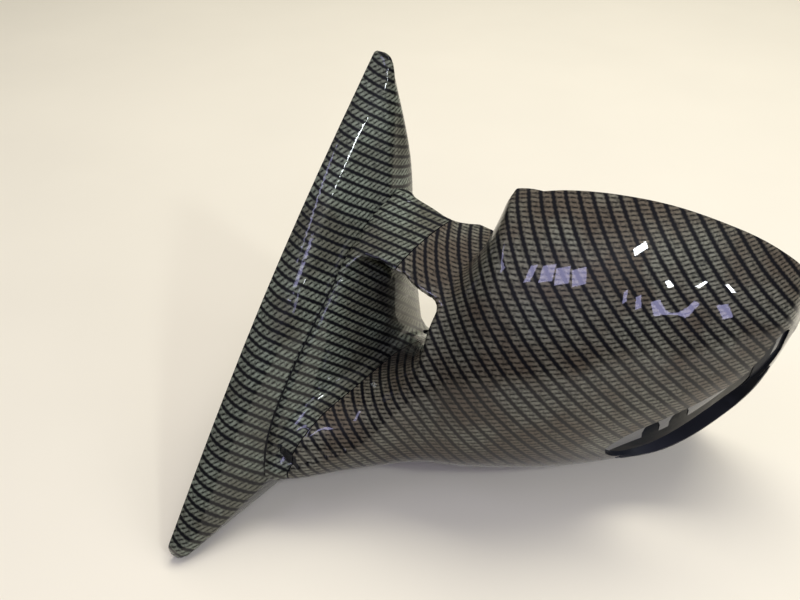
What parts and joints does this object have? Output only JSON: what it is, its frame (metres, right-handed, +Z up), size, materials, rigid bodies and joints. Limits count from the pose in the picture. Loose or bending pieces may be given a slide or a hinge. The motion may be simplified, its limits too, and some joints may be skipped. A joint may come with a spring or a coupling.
{
  "type": "door mirror housing",
  "caption": "Twin-arm folding door mirror housing: triangular domed door base, dished foot, hollow rounded head with an ear, a raked rear rim and an empty crescent lamp slot",
  "frame": {"origin": "front lower tip of the base's mounting rim", "axes": "+X outboard from the door, +Y towards the rear of the car, +Z up"},
  "size_m": [0.2404, 0.2791, 0.2165],
  "materials": {
    "film": "woven-look film under a clear gloss coat",
    "gasket": "matt",
    "brass": "turned",
    "zinc": "zinc plated"
  },
  "bodies": {
    "mount_side": {"sail_base": "film", "base_gasket": "gasket", "threaded_inserts": "brass", "foot": "film", "foot_screws": "zinc", "upper_pivot_pin": "zinc", "lower_pivot_pin": "zinc", "thrust_washers": "zinc", "disc_springs": "zinc"},
    "head": {"head_shell": "film"}
  },
  "joints": [
    {"name": "head_fold", "type": "hinge", "parent": "mount_side", "child": "head", "pos_m": [0.0366, 0.188, 0], "axis": [0, 0, 1], "range_deg": [0, 60]}
  ]
}
